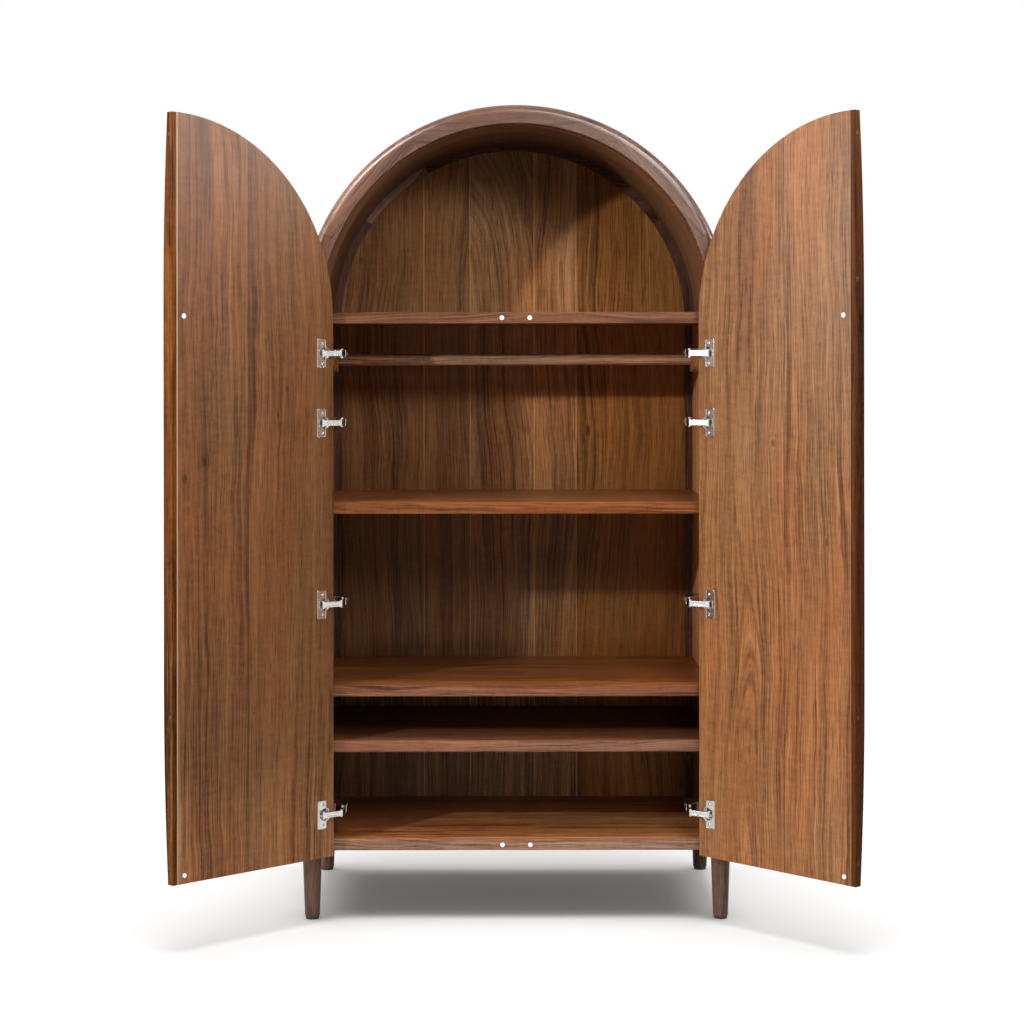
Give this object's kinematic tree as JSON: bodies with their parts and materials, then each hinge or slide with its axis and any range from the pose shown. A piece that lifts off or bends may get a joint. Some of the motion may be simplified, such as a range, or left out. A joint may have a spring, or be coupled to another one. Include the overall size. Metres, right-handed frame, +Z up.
{
  "type": "wardrobe",
  "caption": "Arched walnut wardrobe on turned legs with a pair of inset doors on concealed hinges, a hanging rod and shelves.",
  "frame": {"origin": "on the floor under the middle of the carcass footprint", "axes": "+Z up, +X to the viewer's right, +Y from the doors to the back"},
  "size_m": [1.7324, 1.0378, 2.1419],
  "materials": {
    "walnut_veneer": "satin lacquered straight-grained walnut veneer on board",
    "walnut_solid": "satin lacquered solid walnut",
    "walnut_dark": "satin lacquered dark walnut",
    "core_wood": "unfinished softwood core",
    "nickel_steel": "bright nickel plate",
    "zinc_steel": "zinc plate",
    "catch_metal": "pale satin nickel plate",
    "black_plastic": "black nylon"
  },
  "bodies": {
    "carcass": {"arch_lining": "walnut_veneer", "arch_skin": "walnut_veneer", "arm_pins": "nickel_steel", "back_panel": "walnut_veneer", "back_screws": "zinc_steel", "bottom_panel": "walnut_veneer", "catch_magnets": "catch_metal", "cleat_post_left": "walnut_solid", "cleat_post_right": "walnut_solid", "cleat_shoulder_left": "walnut_solid", "cleat_shoulder_right": "walnut_solid", "cleat_top": "walnut_solid", "hanging_rod": "walnut_solid", "hinge_arms": "nickel_steel", "hinge_plates": "nickel_steel", "leg_bolts": "zinc_steel", "leg_front_left": "walnut_dark", "leg_front_right": "walnut_dark", "leg_glides": "black_plastic", "leg_rear_left": "walnut_dark", "leg_rear_right": "walnut_dark", "plate_screws": "nickel_steel", "rear_core": "core_wood", "rim_haunches": "walnut_solid", "rim_post_left": "walnut_solid", "rim_post_right": "walnut_solid", "rim_shoulder_left": "walnut_solid", "rim_shoulder_right": "walnut_solid", "rim_top": "walnut_solid", "rod_sockets": "walnut_solid", "shelf_lower": "walnut_veneer", "shelf_middle": "walnut_veneer", "shelf_pins": "nickel_steel", "shelf_upper": "walnut_veneer", "side_battens": "core_wood", "side_lining_left": "walnut_veneer", "side_lining_right": "walnut_veneer", "side_skin_left": "walnut_veneer", "side_skin_right": "walnut_veneer", "top_shelf": "walnut_veneer"},
    "left_door": {"door_panel_left": "walnut_veneer", "door_pull_left": "walnut_solid", "door_plugs_left": "walnut_solid", "catch_plates_left": "catch_metal", "hinge_cups_left": "nickel_steel", "cup_screws_left": "nickel_steel", "cup_pins_left": "nickel_steel"},
    "left_inner_links": {"inner_links_left": "nickel_steel", "knee_pins_left": "nickel_steel"},
    "left_outer_links": {"outer_links_left": "nickel_steel"},
    "right_door": {"door_panel_right": "walnut_veneer", "door_pull_right": "walnut_solid", "door_plugs_right": "walnut_solid", "catch_plates_right": "catch_metal", "hinge_cups_right": "nickel_steel", "cup_screws_right": "nickel_steel", "cup_pins_right": "nickel_steel"},
    "right_inner_links": {"inner_links_right": "nickel_steel", "knee_pins_right": "nickel_steel"},
    "right_outer_links": {"outer_links_right": "nickel_steel"}
  },
  "joints": [
    {"name": "left_arm_pivot", "type": "hinge", "parent": "carcass", "child": "left_inner_links", "pos_m": [-0.457, -0.2995, 0.8885], "axis": [0, 0, -1], "range_deg": [-137.5, 9.5]},
    {"name": "left_knee_pivot", "type": "hinge", "parent": "left_inner_links", "child": "left_outer_links", "pos_m": [-0.45759, -0.34208, 0.8885], "axis": [0, 0, 1], "range_deg": [-137.5, 9.5]},
    {"name": "left_door_swing", "type": "hinge", "parent": "left_outer_links", "child": "left_door", "pos_m": [-0.50159, -0.37408, 0.8885], "axis": [0, 0, -1], "range_deg": [-137.5, 9.5]},
    {"name": "right_arm_pivot", "type": "hinge", "parent": "carcass", "child": "right_inner_links", "pos_m": [0.457, -0.2995, 0.8885], "axis": [0, 0, 1], "range_deg": [-133.5, 13.5]},
    {"name": "right_knee_pivot", "type": "hinge", "parent": "right_inner_links", "child": "right_outer_links", "pos_m": [0.45461, -0.34202, 0.8885], "axis": [0, 0, -1], "range_deg": [-133.5, 13.5]},
    {"name": "right_door_swing", "type": "hinge", "parent": "right_outer_links", "child": "right_door", "pos_m": [0.49861, -0.37402, 0.8885], "axis": [0, 0, 1], "range_deg": [-133.5, 13.5]}
  ],
  "couplings": [
    {"joint": "left_knee_pivot", "follows": "left_arm_pivot", "ratio": 1},
    {"joint": "left_door_swing", "follows": "left_arm_pivot", "ratio": 1},
    {"joint": "right_knee_pivot", "follows": "right_arm_pivot", "ratio": 1},
    {"joint": "right_door_swing", "follows": "right_arm_pivot", "ratio": 1}
  ]
}
